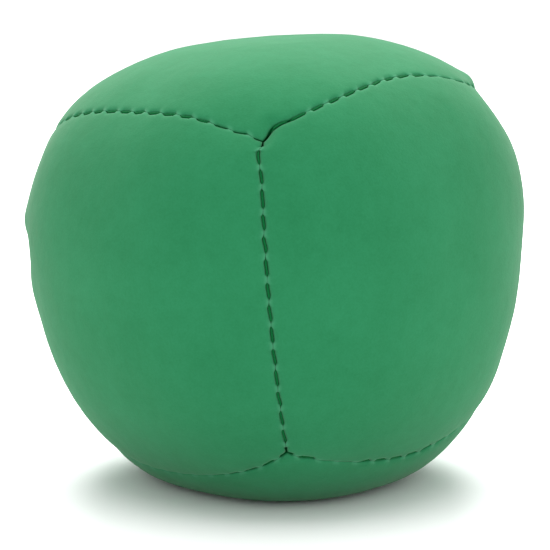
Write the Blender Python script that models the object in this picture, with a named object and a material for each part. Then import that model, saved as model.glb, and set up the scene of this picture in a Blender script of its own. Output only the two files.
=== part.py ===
"""A six-panel beanbag juggling ball, standing on its flattened underside.

Six square panels of brushed microfibre suede are sewn edge to edge into a cube. The bag is turned
right side out through a gap in its last seam, filled with millet, and the gap is closed by hand.
Full of grain, the cube swells into a rounded, slightly squat ball that sits on a flat patch.

Run with: blender --background --python part.py
Units are metres, +Z is up, and the ball's front seam faces -Y.
"""

import math

import bmesh
import bpy
from mathutils import Matrix, Vector

# Driving dimensions of the filled bag.
HALF_WIDTH = 0.0308  # from the axis to the middle of a side panel, at mid height
HEIGHT_RATIO = 1.016  # free half height over half width, before the base goes flat
SQUARENESS = 2.40  # 2 is a sphere; more keeps some of the sewn cube's corners
TOP_SWELL = 0.069  # the ball is this much wider at its top than at mid height
END_SWELL = 0.017  # and this much wider at both ends, where the panels' corners are
SHOULDER_LIFT = 0.069  # how far the grain's pressure lifts the ball's sides, in half widths
SIDE_LIFT = 0.006  # how much taller the ball stands on its right than on its left
LEAN = 0.050  # how far the top and the base lean to the right of the middle
BASE_DROP = 0.881  # height of the centre over the floor, in half widths
BASE_ROUND = 0.055  # height over which the base turns from flat to free, in half widths
SEAM_YAW = math.radians(43.6)  # turns the seams so that one faces the front
SEAM_TILT = math.radians(-4.87)  # the ball came to rest with its seams leaning this much
SEAM_STRAY = 0.144  # the top front right seam strays this far upwards at its middle
SEAM_STRAY_REACH = 0.34  # and the straying fades over this distance on a sphere of radius 1
SEAM_STRAY_MIDDLE = Vector((0.11, -1.0, 1.0)).normalized()

# Sewing.
CLOTH = 0.0009  # thickness of the microfibre suede
ALLOWANCE = 0.0040  # width of cloth turned in at each seam
SEAM_ROUND = 0.0015  # outer radius where a panel turns in
SEAM_CLEARANCE = 0.0002  # from a turned-in edge to the middle of its seam
THREAD_RADIUS = 0.000225
THREAD_DEPTH = 0.00035  # how far the thread lies below the panels' surface
THREAD_END_GAP = 0.0022  # where a thread stops short of the corner where three panels meet
CLOSING_LENGTH = 0.026  # the part of the last seam that is closed by hand
CLOSING_GAP = 0.0008  # between the machine thread's end and the closing stitch
KNOT_RADIUS = 0.0006
KNOT_GAP = 0.0003  # between the closing stitch's end and its knot
KNOT_RISE = 0.0003  # the knot is too fat for the groove and stands this far out of it

# Filling.
FILLING_GAP = 0.0003  # between the cloth and the grain
FILLING_CREST = 0.0055  # distance from a seam at which the grain reaches the cloth

# Fineness.
PANEL_CELLS = 12
FILLING_CELLS = 7
THREAD_POINTS = 14

PANEL_ARC = HALF_WIDTH * math.pi / 4  # from a panel's middle to its seam, along the surface
THREAD_ARC = HALF_WIDTH * 1.07 * math.radians(35.26)  # half of one seam's length
SEAM_FRAME = Matrix.Rotation(SEAM_TILT, 3, "Y") @ Matrix.Rotation(SEAM_YAW, 3, "Z")

# Each face of the sewn cube: its axis, its side of that axis, and its panel's name.
FACES = (
    (0, -1, "front_left"),
    (1, -1, "front_right"),
    (0, 1, "back_right"),
    (1, 1, "back_left"),
    (2, 1, "top"),
    (2, -1, "bottom"),
)

# The four upright seams, named for where they stand, by the cube edge they follow.
UPRIGHT_SEAMS = (
    ("front", (-1, -1)),
    ("right", (1, -1)),
    ("back", (1, 1)),
    ("left", (-1, 1)),
)

CLOSED_BY_HAND = "bottom_back_left"


def clear_scene():
    """Remove every object, so that only the ball is left."""
    for old in list(bpy.data.objects):
        bpy.data.objects.remove(old, do_unlink=True)


def principled(name, colour, roughness):
    """Return a plain Principled material."""
    material = bpy.data.materials.new(name)
    material.use_nodes = True
    shader = material.node_tree.nodes["Principled BSDF"]
    shader.inputs["Base Color"].default_value = (*colour, 1.0)
    shader.inputs["Roughness"].default_value = roughness
    shader.inputs["Metallic"].default_value = 0.0
    return material


def resting_height(height):
    """Press a height, in half widths from the centre, flat against the floor."""
    above = (height + BASE_DROP) / BASE_ROUND
    if above <= -1.0:
        return 0.0
    if above >= 1.0:
        return above * BASE_ROUND
    return BASE_ROUND * (above + 1.0) ** 2 / 4


def strayed(unit):
    """Move a unit direction as far as the top front right seam strays there."""
    away = (unit - SEAM_STRAY_MIDDLE).length / SEAM_STRAY_REACH
    return (unit + Vector((0.0, 0.0, SEAM_STRAY * math.exp(-away ** 2)))).normalized()


def skin_point(direction):
    """Return the outer skin's point in a direction given in the seam cube's frame."""
    unit = strayed(direction.normalized())
    reach = sum(abs(part) ** SQUARENESS for part in unit) ** (-1 / SQUARENESS)
    place = SEAM_FRAME @ (unit * reach)
    lift = SHOULDER_LIFT * (place.x ** 2 + place.y ** 2) + SIDE_LIFT * place.x * place.z
    level = place.z + lift
    swell = 1.0 + TOP_SWELL * level + END_SWELL * level ** 2
    sideways = place.x + LEAN * level ** 2
    return Vector((
        sideways * swell,
        place.y * swell,
        resting_height(level * HEIGHT_RATIO),
    )) * HALF_WIDTH


def skin_normal(direction):
    """Return the outer skin's outward normal, from two short steps along the surface."""
    unit = direction.normalized()
    step = 0.002
    across = unit.orthogonal().normalized() * step
    along = unit.cross(across)
    first = skin_point(unit + across) - skin_point(unit - across)
    second = skin_point(unit + along) - skin_point(unit - along)
    normal = first.cross(second).normalized()
    outward = skin_point(unit) - Vector((0, 0, BASE_DROP * HALF_WIDTH))
    if normal.dot(outward) < 0:
        normal.negate()
    return normal


def sunk_point(direction, depth):
    """Return the point a depth below the outer skin."""
    return skin_point(direction) - skin_normal(direction) * depth


def face_direction(face, across, up):
    """Return the direction of a place on a cube face; across and up run from -1 to 1."""
    axis, side, _ = face
    parts = [0.0, 0.0, 0.0]
    parts[axis] = side
    parts[(axis + 1) % 3] = math.tan(across * math.pi / 4)
    parts[(axis + 2) % 3] = math.tan(up * math.pi / 4)
    return Vector(parts)


def spread(cells):
    """Return evenly spread places from -1 to 1."""
    return [2 * step / cells - 1 for step in range(cells + 1)]


def add_grid(mesh, face, lines, depth):
    """Add a grid of points and its quads at a depth below one face's skin."""
    rows = [[mesh.verts.new(sunk_point(face_direction(face, x, y), depth)) for x in lines]
            for y in lines]
    for low, high in zip(rows, rows[1:]):
        for left in range(len(lines) - 1):
            mesh.faces.new((low[left], low[left + 1], high[left + 1], high[left]))
    return rows


def grid_border(rows):
    """Return a grid's outermost points, in order around it."""
    last = len(rows) - 1
    border = [rows[0][step] for step in range(last)]
    border += [rows[step][last] for step in range(last)]
    border += [rows[last][last - step] for step in range(last)]
    border += [rows[last - step][0] for step in range(last)]
    return border


def add_ring(mesh, face, inset, depth):
    """Add a ring of points at one inset from a panel's four seams and one depth."""
    reach = 1 - inset / PANEL_ARC
    lines = [place * reach for place in spread(PANEL_CELLS)]
    last = len(lines) - 1
    around = [(lines[step], lines[0]) for step in range(last)]
    around += [(lines[last], lines[step]) for step in range(last)]
    around += [(lines[last - step], lines[last]) for step in range(last)]
    around += [(lines[0], lines[last - step]) for step in range(last)]
    return [mesh.verts.new(sunk_point(face_direction(face, x, y), depth)) for x, y in around]


def bridge(mesh, first, second):
    """Join two rings of equal length with a band of quads."""
    for step in range(len(first)):
        following = (step + 1) % len(first)
        mesh.faces.new((first[step], first[following], second[following], second[step]))


def finish_object(mesh, name, material, parent):
    """Turn a closed bmesh outwards and make it a smooth-shaded object."""
    bmesh.ops.recalc_face_normals(mesh, faces=mesh.faces)
    data = bpy.data.meshes.new(name)
    mesh.to_mesh(data)
    mesh.free()
    data.materials.append(material)
    data.shade_smooth()
    data.set_sharp_from_angle(angle=math.radians(50))
    made = bpy.data.objects.new(name, data)
    bpy.context.scene.collection.objects.link(made)
    made.parent = parent
    return made


def make_panel(face, material, parent):
    """Make one panel: its shell, and the seam allowance turned in along its four edges."""
    mesh = bmesh.new()
    outer_reach = 1 - (SEAM_CLEARANCE + SEAM_ROUND) / PANEL_ARC
    lines = [place * outer_reach for place in spread(PANEL_CELLS)]
    outer = grid_border(add_grid(mesh, face, lines, 0.0))
    inner = grid_border(add_grid(mesh, face, lines, CLOTH))

    half_turn = math.radians(45)
    turned_in = (
        (SEAM_CLEARANCE + SEAM_ROUND * (1 - math.sin(half_turn)),
         SEAM_ROUND * (1 - math.cos(half_turn))),
        (SEAM_CLEARANCE, SEAM_ROUND),
        (SEAM_CLEARANCE, ALLOWANCE),
        (SEAM_CLEARANCE + CLOTH, ALLOWANCE),
        (SEAM_CLEARANCE + CLOTH, SEAM_ROUND),
    )
    before = outer
    for inset, depth in turned_in:
        ring = add_ring(mesh, face, inset, depth)
        bridge(mesh, before, ring)
        before = ring
    bridge(mesh, before, inner)
    return finish_object(mesh, "panel_" + face[2], material, parent)


def seam_direction(start, end, place):
    """Return the direction at a place, from 0 to 1, along the seam between two corners."""
    turned = 0.5 + 0.5 * math.tan((2 * place - 1) * math.pi / 4)
    return Vector(start).lerp(Vector(end), turned)


def make_thread(name, start, end, first, last, material, parent):
    """Make the thread in one seam, from a first to a last place along it."""
    curve = bpy.data.curves.new(name, "CURVE")
    curve.dimensions = "3D"
    curve.bevel_depth = THREAD_RADIUS
    curve.bevel_resolution = 1
    curve.use_fill_caps = True
    spline = curve.splines.new("POLY")
    spline.points.add(THREAD_POINTS - 1)
    for step, point in enumerate(spline.points):
        place = first + (last - first) * step / (THREAD_POINTS - 1)
        point.co = (*sunk_point(seam_direction(start, end, place), THREAD_DEPTH), 1.0)
    curve.materials.append(material)
    made = bpy.data.objects.new(name, curve)
    bpy.context.scene.collection.objects.link(made)
    made.parent = parent
    return made


def seam_corners():
    """Return each seam's name and the two cube corners that it joins."""
    seams = []
    for where, (x, y) in UPRIGHT_SEAMS:
        seams.append((where, (x, y, 1), (x, y, -1)))
    for height, level in ((1, "top"), (-1, "bottom")):
        for axis, side, panel in FACES[:4]:
            ends = []
            for far in (-1, 1):
                corner = [far, far, height]
                corner[axis] = side
                ends.append(tuple(corner))
            seams.append((level + "_" + panel, ends[0], ends[1]))
    return seams


def make_threads(seam_material, hand_material, parent):
    """Make the machine thread of each seam, and the hand stitch and knot that close the last."""
    margin = THREAD_END_GAP / (2 * THREAD_ARC)
    for name, start, end in seam_corners():
        last = 1 - margin
        if name == CLOSED_BY_HAND:
            last -= (CLOSING_LENGTH + CLOSING_GAP) / (2 * THREAD_ARC)
        make_thread("seam_thread_" + name, start, end, margin, last, seam_material, parent)
        if name == CLOSED_BY_HAND:
            first = last + CLOSING_GAP / (2 * THREAD_ARC)
            stop = 1 - margin - (2 * KNOT_RADIUS + KNOT_GAP) / (2 * THREAD_ARC)
            make_thread("closing_stitch", start, end, first, stop, hand_material, parent)
            knot = 1 - margin - KNOT_RADIUS / (2 * THREAD_ARC)
            make_knot(seam_direction(start, end, knot), hand_material, parent)


def make_knot(direction, material, parent):
    """Make the knot that ends the closing stitch, sitting in the mouth of its seam."""
    mesh = bmesh.new()
    place = Matrix.Translation(sunk_point(direction, -KNOT_RISE))
    bmesh.ops.create_icosphere(mesh, subdivisions=2, radius=KNOT_RADIUS, matrix=place)
    return finish_object(mesh, "closing_knot", material, parent)


def filling_depth(across, up):
    """Return how deep the grain lies: against the cloth, but under the turned-in edges."""
    from_seam = (1 - max(abs(across), abs(up))) * PANEL_ARC
    under_edges = ALLOWANCE + FILLING_GAP
    if from_seam < FILLING_CREST - 0.0001:
        return under_edges
    return CLOTH + FILLING_GAP


def make_filling(material, parent):
    """Make the millet as one solid, grooved where the seam allowances stand in it."""
    mesh = bmesh.new()
    clear_of_edge = 1 - (SEAM_CLEARANCE + CLOTH + 2 * FILLING_GAP) / PANEL_ARC
    crest = 1 - FILLING_CREST / PANEL_ARC
    lines = [-1, -clear_of_edge]
    lines += [place * crest for place in spread(FILLING_CELLS)]
    lines += [clear_of_edge, 1]
    for face in FACES:
        rows = [[mesh.verts.new(sunk_point(face_direction(face, x, y), filling_depth(x, y)))
                 for x in lines] for y in lines]
        for low, high in zip(rows, rows[1:]):
            for left in range(len(lines) - 1):
                mesh.faces.new((low[left], low[left + 1], high[left + 1], high[left]))
    bmesh.ops.remove_doubles(mesh, verts=mesh.verts, dist=0.00001)
    return finish_object(mesh, "seed_filling", material, parent)


def stand_on_origin(parent, panels):
    """Move the ball so that the middle of its box stands over the origin."""
    corners = [vertex.co for panel in panels for vertex in panel.data.vertices]
    middle_x = (min(co.x for co in corners) + max(co.x for co in corners)) / 2
    middle_y = (min(co.y for co in corners) + max(co.y for co in corners)) / 2
    lowest = min(co.z for co in corners)
    parent.location = (-middle_x, -middle_y, -lowest)


def build_ball():
    """Build every piece of the ball."""
    clear_scene()
    suede = principled("green_microfibre_suede", (0.042, 0.262, 0.110), 0.95)
    thread = principled("dark_green_polyester_thread", (0.009, 0.105, 0.033), 0.6)
    hand_thread = principled("dark_green_hand_thread", (0.011, 0.120, 0.040), 0.65)
    millet = principled("millet_grain", (0.560, 0.380, 0.130), 0.55)
    ball = bpy.data.objects.new("ball", None)
    bpy.context.scene.collection.objects.link(ball)
    panels = [make_panel(face, suede, ball) for face in FACES]
    make_threads(thread, hand_thread, ball)
    make_filling(millet, ball)
    stand_on_origin(ball, panels)


build_ball()
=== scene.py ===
"""The looks of a six-panel beanbag juggling ball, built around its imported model.

Six panels of brushed microfibre suede are swelled by cloth simulation into the shape that the
grain gives them, drawn in along twelve lockstitched seams, and turned in at their edges. The last
seam is closed by hand and knotted, and the bag is full of millet. Units are metres, +Z is up.
"""

import logging
import math
from collections.abc import Mapping
from dataclasses import dataclass, field
from enum import Enum
from functools import cached_property

import bpy
import numpy as np
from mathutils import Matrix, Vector, noise


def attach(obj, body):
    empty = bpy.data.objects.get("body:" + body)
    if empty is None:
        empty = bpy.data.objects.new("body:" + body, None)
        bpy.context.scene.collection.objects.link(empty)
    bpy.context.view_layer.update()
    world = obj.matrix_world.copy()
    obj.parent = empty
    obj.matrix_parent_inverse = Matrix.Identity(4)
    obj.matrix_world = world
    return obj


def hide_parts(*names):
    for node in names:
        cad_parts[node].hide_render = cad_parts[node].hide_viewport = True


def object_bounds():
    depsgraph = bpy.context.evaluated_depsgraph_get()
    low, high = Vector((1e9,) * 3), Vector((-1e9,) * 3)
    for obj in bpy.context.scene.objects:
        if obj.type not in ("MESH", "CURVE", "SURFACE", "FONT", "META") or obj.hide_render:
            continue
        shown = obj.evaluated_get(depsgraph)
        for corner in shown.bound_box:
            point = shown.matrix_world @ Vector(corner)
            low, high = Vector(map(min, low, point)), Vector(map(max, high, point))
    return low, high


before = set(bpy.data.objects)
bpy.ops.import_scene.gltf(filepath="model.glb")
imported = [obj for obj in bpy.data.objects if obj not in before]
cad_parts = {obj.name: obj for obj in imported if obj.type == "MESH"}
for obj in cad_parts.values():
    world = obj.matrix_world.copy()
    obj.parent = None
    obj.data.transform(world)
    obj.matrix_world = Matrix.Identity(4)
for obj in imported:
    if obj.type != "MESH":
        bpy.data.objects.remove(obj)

CAD_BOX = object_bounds()

log = logging.getLogger("juggling_ball")

BODY = "root"
MM = 0.001


class Slot(Enum):
    """The record's material slots."""

    SUEDE = "suede"
    SEAM_THREAD = "seam_thread"
    CLOSING_THREAD = "closing_thread"
    MILLET = "millet"


def linear(colour: str) -> tuple[float, float, float, float]:
    """Turn an sRGB hex colour into the linear colour that shaders work in.

    Args:
        colour: Six hex digits after a hash sign.

    Returns:
        Red, green, blue and an alpha of 1.
    """
    parts = [int(colour[start:start + 2], 16) / 255 for start in (1, 3, 5)]
    red, green, blue = (
        part / 12.92 if part <= 0.04045 else ((part + 0.055) / 1.055) ** 2.4 for part in parts
    )
    return red, green, blue, 1.0


def add_node(
    tree: bpy.types.NodeTree,
    kind: str,
    settings: Mapping[str, object] | None = None,
    links: Mapping[str, bpy.types.NodeSocket] | None = None,
) -> bpy.types.Node:
    """Add one shader node with its settings and its incoming links.

    Args:
        tree: The node tree to add to.
        kind: The node's type, such as ShaderNodeBump.
        settings: Values by the name of an input socket, or else of a property.
        links: The sockets that feed the node, by the name of its input.

    Returns:
        The new node.
    """
    node = tree.nodes.new(kind)
    for name, value in (settings or {}).items():
        if name in node.inputs:
            node.inputs[name].default_value = value
        else:
            setattr(node, name, value)
    for name, source in (links or {}).items():
        tree.links.new(source, node.inputs[name])
    return node


def empty_material(name: str) -> tuple[bpy.types.Material, bpy.types.NodeTree]:
    """Make a material with nothing in it but its output.

    Args:
        name: The material's name.

    Returns:
        The material and its node tree.
    """
    material = bpy.data.materials.new(name)
    material.use_nodes = True
    tree = material.node_tree
    tree.nodes.clear()
    return material, tree


def deselect_all() -> None:
    """Leave nothing selected, so that an operator acts only on what is selected next."""
    for selected in list(bpy.context.selected_objects):
        selected.select_set(False)


def make_active(piece: bpy.types.Object) -> None:
    """Select one object alone and make it the active one."""
    deselect_all()
    piece.select_set(True)
    bpy.context.view_layer.objects.active = piece


def vertex_places(mesh: bpy.types.Mesh) -> np.ndarray:
    """Read a mesh's vertices as rows of x, y and z."""
    flat = np.empty(len(mesh.vertices) * 3)
    mesh.vertices.foreach_get("co", flat)
    return flat.reshape(-1, 3)


def move_vertices(mesh: bpy.types.Mesh, places: np.ndarray) -> None:
    """Put a mesh's vertices at new places."""
    mesh.vertices.foreach_set("co", places.astype(np.float32).ravel())
    mesh.update()


def add_point_values(mesh: bpy.types.Mesh, name: str, values: np.ndarray) -> None:
    """Store one number for each vertex, for a material to read."""
    attribute = mesh.attributes.new(name, "FLOAT", "POINT")
    attribute.data.foreach_set("value", values.astype(np.float32))


def smoothstep(values: np.ndarray) -> np.ndarray:
    """Ease values from 0 to 1, flat beyond both."""
    held = np.clip(values, 0.0, 1.0)
    return held * held * (3 - 2 * held)


def unit_rows(vectors: np.ndarray) -> np.ndarray:
    """Scale each vector to a length of 1."""
    return vectors / np.linalg.norm(vectors, axis=-1, keepdims=True)


@dataclass(frozen=True)
class Nudge:
    """A place where the bag has been pushed aside: a hollow, a mound, or a corner pulled askew."""

    at: tuple[float, float, float]  # millimetres
    shift: tuple[float, float, float]  # millimetres
    reach: float  # millimetres over which the shift fades

    def moved(self, points: np.ndarray) -> np.ndarray:
        """Return how far the nudge moves each point."""
        away = np.linalg.norm(points / MM - np.array(self.at), axis=-1, keepdims=True)
        return np.exp(-(away / self.reach) ** 2) * np.array(self.shift) * MM


HANDLING = (
    # The corners and seams that ended up askew.
    Nudge((-5.0, -28.0, 48.6), (0.0, -0.25, -0.65), 4.5),
    Nudge((-1.4, -29.0, 48.4), (0.42, -0.10, -0.60), 1.5),
    Nudge((-0.4, -27.8, 49.4), (-0.10, 0.60, 0.50), 1.2),
    Nudge((-2.0, -30.2, 46.5), (-0.45, 0.0, 0.0), 2.2),
    Nudge((-1.5, -25.5, 8.0), (0.0, 0.40, -0.60), 6.5),
    Nudge((17.9, -16.1, 6.4), (-0.10, 0.20, -0.45), 5.0),
    Nudge((28.2, -0.7, 51.1), (-1.30, 0.0, 0.80), 5.0),
    Nudge((-20.7, -11.5, 51.5), (0.0, 0.12, 0.22), 6.5),
    # Hollows and mounds where the grain has settled.
    Nudge((29.4, -1.3, 49.5), (-0.28, 0.0, -0.20), 4.0),
    Nudge((26.6, -0.5, 52.3), (0.40, 0.0, 0.40), 2.3),
    Nudge((-31.4, -1.9, 43.0), (0.45, 0.0, -0.22), 5.0),
    Nudge((-32.9, -2.2, 34.7), (-0.35, 0.0, 0.0), 2.2),
    Nudge((-32.7, -2.8, 31.2), (0.40, 0.0, 0.0), 2.2),
    Nudge((-31.9, -3.4, 25.5), (-0.25, 0.0, 0.0), 3.0),
    Nudge((32.8, -3.0, 37.0), (0.30, 0.0, 0.0), 6.0),
    Nudge((31.0, -3.8, 19.0), (-0.25, 0.0, 0.10), 5.0),
)


@dataclass(frozen=True)
class FilledShape:
    """The smooth outer form that the grain gives the bag, before its seams draw it in.

    It is a squared ball, swelled towards its top and flattened where it rests. The sizes are
    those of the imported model, so the skin lies on its panels. Lengths are in half widths.
    """

    half_width: float = 0.0308  # metres
    height_ratio: float = 1.016
    squareness: float = 2.40  # the power of the outline: 2 is round
    top_swell: float = 0.069
    end_swell: float = 0.017
    shoulder_lift: float = 0.069
    side_lift: float = 0.006
    lean: float = 0.050
    base_drop: float = 0.881  # from the ball's middle down to the floor
    base_round: float = 0.055  # how softly the side turns into the flattened base
    seam_yaw: float = math.radians(43.6)
    seam_tilt: float = math.radians(-4.87)
    seam_stray: float = 0.144  # how far one corner of the sewn cube is pulled askew
    seam_stray_reach: float = 0.34
    seam_stray_middle: tuple[float, float, float] = (0.11, -1.0, 1.0)
    step: float = 0.002  # between the points that a normal is measured from
    nudges: tuple[Nudge, ...] = HANDLING

    @cached_property
    def seam_frame(self) -> np.ndarray:
        """The rotation from the sewn cube's frame to the ball's."""
        yaw, tilt = self.seam_yaw, self.seam_tilt
        turn = np.array([
            [math.cos(yaw), -math.sin(yaw), 0], [math.sin(yaw), math.cos(yaw), 0], [0, 0, 1]])
        lean = np.array([
            [math.cos(tilt), 0, math.sin(tilt)], [0, 1, 0], [-math.sin(tilt), 0, math.cos(tilt)]])
        return lean @ turn

    @cached_property
    def offset(self) -> np.ndarray:
        """The shift that stands the middle of the ball's box over the origin."""
        turns = np.linspace(0, 2 * math.pi, 721)[:, None]
        rises = np.linspace(-math.pi / 2, math.pi / 2, 361)[None, :]
        around = np.stack([
            np.cos(turns) * np.cos(rises), np.sin(turns) * np.cos(rises),
            np.sin(rises) + 0 * turns], axis=-1)
        points = self._unplaced_skin(around).reshape(-1, 3)
        middle = (points.min(0) + points.max(0)) / 2
        packed = (np.array(CAD_BOX[0]) + np.array(CAD_BOX[1])) / 2
        return np.array([packed[0] - middle[0], packed[1] - middle[1], CAD_BOX[0][2]])

    def nudged(self, points: np.ndarray) -> np.ndarray:
        """Return points of the finished bag after every nudge.

        Args:
            points: Points of the bag, in rows.

        Returns:
            The moved points, none of them under the floor.
        """
        moved = points + sum(nudge.moved(points) for nudge in self.nudges)
        moved[..., 2] = np.maximum(moved[..., 2], np.minimum(points[..., 2], 0.0))
        return moved

    def _unplaced_skin(self, directions: np.ndarray) -> np.ndarray:
        """Return the skin's points with the ball's own axis at the origin."""
        unit = unit_rows(directions)
        middle = unit_rows(np.array(self.seam_stray_middle))
        away = np.linalg.norm(unit - middle, axis=-1) / self.seam_stray_reach
        rise = np.zeros_like(unit)
        rise[..., 2] = self.seam_stray * np.exp(-away ** 2)
        unit = unit_rows(unit + rise)
        powers = (np.abs(unit) ** self.squareness).sum(-1, keepdims=True)
        place = (unit * powers ** (-1 / self.squareness)) @ self.seam_frame.T
        x, y, z = place[..., 0], place[..., 1], place[..., 2]
        level = z + self.shoulder_lift * (x * x + y * y) + self.side_lift * x * z
        swell = 1 + self.top_swell * level + self.end_swell * level ** 2
        above = (level * self.height_ratio + self.base_drop) / self.base_round
        rounded = self.base_round * (above + 1) ** 2 / 4
        height = np.where(above <= -1, 0, np.where(above >= 1, above * self.base_round, rounded))
        sideways = (x + self.lean * level ** 2) * swell
        return np.stack([sideways, y * swell, height], axis=-1) * self.half_width

    def skin(self, directions: np.ndarray) -> np.ndarray:
        """Return the skin's points.

        Args:
            directions: Directions in the sewn cube's frame, in rows.

        Returns:
            A point of the skin for each.
        """
        return self._unplaced_skin(directions) + self.offset

    def normals(self, directions: np.ndarray) -> np.ndarray:
        """Return the skin's outward normals.

        Args:
            directions: Directions in the sewn cube's frame, in rows.

        Returns:
            A unit vector for each.
        """
        unit = unit_rows(directions)
        upright = np.abs(unit[..., 2:3]) < 0.9
        helper = np.where(upright, np.array([0.0, 0.0, 1.0]), np.array([1.0, 0.0, 0.0]))
        across = unit_rows(np.cross(helper, unit)) * self.step
        along = np.cross(unit, across)
        first = self._unplaced_skin(unit + across) - self._unplaced_skin(unit - across)
        second = self._unplaced_skin(unit + along) - self._unplaced_skin(unit - along)
        return unit_rows(np.cross(first, second))


@dataclass(frozen=True)
class Sewing:
    """How the bag is sewn: thread, stitch length, and what a stitch does to the cloth."""

    stitch: float = 2.77 * MM  # the machine's stitch length
    uneven: float = 0.05  # how far needle holes stray, as a share of a stitch
    corner_gap: float = 1.3 * MM  # unsewn length at each corner
    slit: float = 0.15 * MM  # half the gap between two panels, between stitches
    pinched_slit: float = 0.01 * MM  # and where a stitch pulls them together
    corner_slit: float = 0.07 * MM  # and in the corners, past the last stitch
    hole_half: float = 0.34 * MM  # half the length over which a stitch pinches the cloth shut
    hole_fade: float = 0.22 * MM  # length over which the slit opens again
    drift: float = 0.055 * MM  # how far each stitch slants to one side of the seam
    sink: float = 0.30 * MM  # how far a seam is drawn into the ball
    crease: float = 0.08 * MM  # the sharp last part of that, right at the seam
    crease_width: float = 0.8 * MM
    dimple: float = 0.02 * MM  # how far each stitch pulls the cloth beside it down
    dimple_width: float = 0.7 * MM
    hand_length: float = 26 * MM  # the part of the last seam that is closed by hand
    hand_stitch: float = 2.2 * MM
    hand_uneven: float = 0.08
    slants: tuple[float, float] = (0.2, 1.7)  # the least and the most that a stitch slants


@dataclass(frozen=True)
class Settling:
    """How one seam has settled, by millimetres from its start.

    Its gape is 1 where the slit shows as usual, and 0 where the cloth has closed over it. Its
    grip is 1 where each stitch pinches the cloth shut, and 0 where the thread lies slack.
    """

    gape: tuple[tuple[float, float], ...] = ((0.0, 1.0),)
    grip: tuple[tuple[float, float], ...] = ((0.0, 1.0),)

    def gape_at(self, stations: np.ndarray) -> np.ndarray:
        """Return the gape at stations along the seam."""
        return np.interp(stations / MM, *zip(*self.gape))

    def grip_at(self, stations: np.ndarray) -> np.ndarray:
        """Return the grip at stations along the seam."""
        return np.interp(stations / MM, *zip(*self.grip))


SETTLED = {
    "front": Settling(gape=((0, 1.8), (1.5, 1.2), (3, 1.0))),
    "top_front_left": Settling(
        gape=((0, 0.7), (4.5, 0.45), (7.5, 0.8), (10, 1.0))),
    "top_front_right": Settling(
        gape=((0, 1.7), (3, 1.2), (27, 1.0), (30.5, 0.25), (35, 0.3), (38, 1.0)),
        grip=((0, 0.0), (5.2, 0.1), (6.2, 1.0))),
    "bottom_front_left": Settling(
        gape=((0, 1.8), (1.5, 0.8), (8, 0.35), (13, 0.0))),
    "bottom_front_right": Settling(
        gape=((0, 1.6), (1.5, 0.9), (3.7, 0.9), (4.3, 0.08), (10.5, 0.12), (12, 0.9),
              (24, 0.9), (27, 0.15))),
}


@dataclass(frozen=True)
class CubeFace:
    """One square of the sewn cube, by its axis and its side of that axis."""

    name: str
    axis: int
    side: int

    def directions(self, across: np.ndarray, up: np.ndarray) -> np.ndarray:
        """Return directions for places on the square.

        Args:
            across: Places from -1 to 1 across the square.
            up: Places from -1 to 1 up the square; across, up and out are right-handed.

        Returns:
            Directions in the sewn cube's frame.
        """
        parts = np.empty(np.shape(across) + (3,))
        parts[..., self.axis] = self.side
        parts[..., (self.axis + 1) % 3] = self.side * np.tan(across * math.pi / 4)
        parts[..., (self.axis + 2) % 3] = np.tan(up * math.pi / 4)
        return parts


FACES = (
    CubeFace("front_left", 0, -1),
    CubeFace("front_right", 1, -1),
    CubeFace("back_right", 0, 1),
    CubeFace("back_left", 1, 1),
    CubeFace("top", 2, 1),
    CubeFace("bottom", 2, -1),
)


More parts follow.
